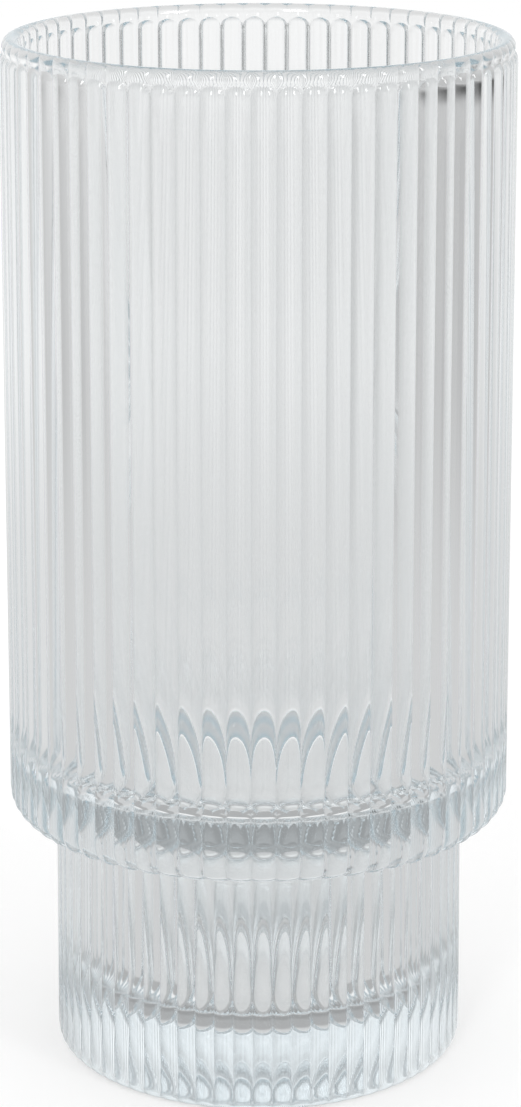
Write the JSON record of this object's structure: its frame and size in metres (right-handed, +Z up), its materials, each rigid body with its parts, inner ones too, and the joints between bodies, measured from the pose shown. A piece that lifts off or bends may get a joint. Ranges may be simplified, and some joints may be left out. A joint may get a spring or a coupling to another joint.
{
  "type": "stackable drinking glass",
  "caption": "Tall reeded drinking glass with a wide body and a narrower reeded foot that stacks into the mouth of the next glass.",
  "frame": {"origin": "middle of the resting plane, on the glass's axis", "axes": "+Z up along the glass's axis, from the base to the mouth; the reeds repeat evenly about it"},
  "size_m": [0.075, 0.075, 0.1534],
  "materials": {
    "clear_glass": "clear fire-polished pressed glass, faintly blue-green where it is thick"
  },
  "bodies": {
    "root": {"lip": "clear_glass", "body_wall": "clear_glass", "shoulder": "clear_glass", "foot_wall": "clear_glass", "base": "clear_glass"}
  },
  "joints": []
}
